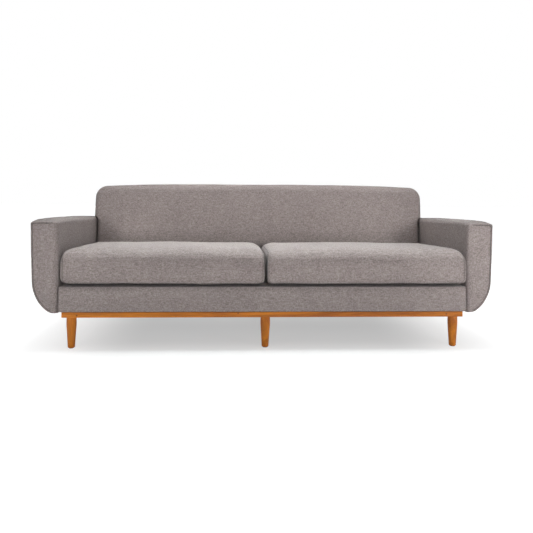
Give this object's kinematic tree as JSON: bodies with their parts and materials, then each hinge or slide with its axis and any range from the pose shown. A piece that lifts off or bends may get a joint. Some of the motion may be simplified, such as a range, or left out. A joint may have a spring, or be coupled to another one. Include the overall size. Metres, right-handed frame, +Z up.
{
  "type": "three-seater sofa",
  "caption": "Wide upholstered sofa with a tight leaning back, boat-shaped arms, loose seat cushions and a wooden plinth on turned tapered legs.",
  "frame": {"origin": "on the floor, under the centre of the sofa's bounding box", "axes": "+X along the seat, to the right of someone who faces the sofa; +Y from the front of the seat to the back; +Z up"},
  "size_m": [2.26, 0.88, 0.815],
  "materials": {
    "upholstery_cloth": "heathered tweed weave, matt",
    "deck_cloth": "plain lining cloth over the deck pad",
    "foam": "open-cell seat foam",
    "webbing": "woven elastic webbing",
    "plinth_wood": "satin honey-stained",
    "leg_wood": "satin honey-stained, turned",
    "glide_nylon": "matt",
    "dust_cloth": "thin non-woven cloth",
    "hardboard": "bent hardboard, unfinished",
    "frame_wood": "sawn softwood, unfinished"
  },
  "bodies": {
    "sofa": {"back_bottom_rail": "frame_wood", "back_rib_1": "frame_wood", "back_rib_2": "frame_wood", "back_rib_3": "frame_wood", "back_rib_4": "frame_wood", "back_rib_5": "frame_wood", "back_top_rail": "frame_wood", "back_upholstery": "upholstery_cloth", "back_webbing": "webbing", "deck_pad": "deck_cloth", "dust_cover": "dust_cloth", "front_legs": "leg_wood", "left_arm_front_former": "frame_wood", "left_arm_inner_board": "hardboard", "left_arm_middle_former": "frame_wood", "left_arm_outer_board": "hardboard", "left_arm_rear_former": "frame_wood", "left_arm_sill": "frame_wood", "left_arm_top_rail": "frame_wood", "left_arm_upholstery": "upholstery_cloth", "left_seat_side_rail": "frame_wood", "leg_glides": "glide_nylon", "outside_back_board": "hardboard", "plinth_centre_rail": "plinth_wood", "plinth_front_rail": "plinth_wood", "plinth_left_rail": "plinth_wood", "plinth_rear_rail": "plinth_wood", "plinth_right_rail": "plinth_wood", "rear_legs": "leg_wood", "right_arm_front_former": "frame_wood", "right_arm_inner_board": "hardboard", "right_arm_middle_former": "frame_wood", "right_arm_outer_board": "hardboard", "right_arm_rear_former": "frame_wood", "right_arm_sill": "frame_wood", "right_arm_top_rail": "frame_wood", "right_arm_upholstery": "upholstery_cloth", "right_seat_side_rail": "frame_wood", "seat_centre_stretcher": "frame_wood", "seat_corner_blocks": "frame_wood", "seat_cross_webbing": "webbing", "seat_front_panel": "upholstery_cloth", "seat_front_rail": "frame_wood", "seat_left_stretcher": "frame_wood", "seat_rear_rail": "frame_wood", "seat_right_stretcher": "frame_wood", "seat_webbing": "webbing"},
    "left_seat_cushion": {"left_cushion_core": "foam", "left_cushion_cover": "upholstery_cloth"},
    "right_seat_cushion": {"right_cushion_core": "foam", "right_cushion_cover": "upholstery_cloth"}
  },
  "joints": [
    {"name": "left_cushion_lift", "type": "slide", "parent": "sofa", "child": "left_seat_cushion", "axis": [0, 0, 1], "range_m": [0, 0.36]},
    {"name": "right_cushion_lift", "type": "slide", "parent": "sofa", "child": "right_seat_cushion", "axis": [0, 0, 1], "range_m": [0, 0.36]}
  ]
}
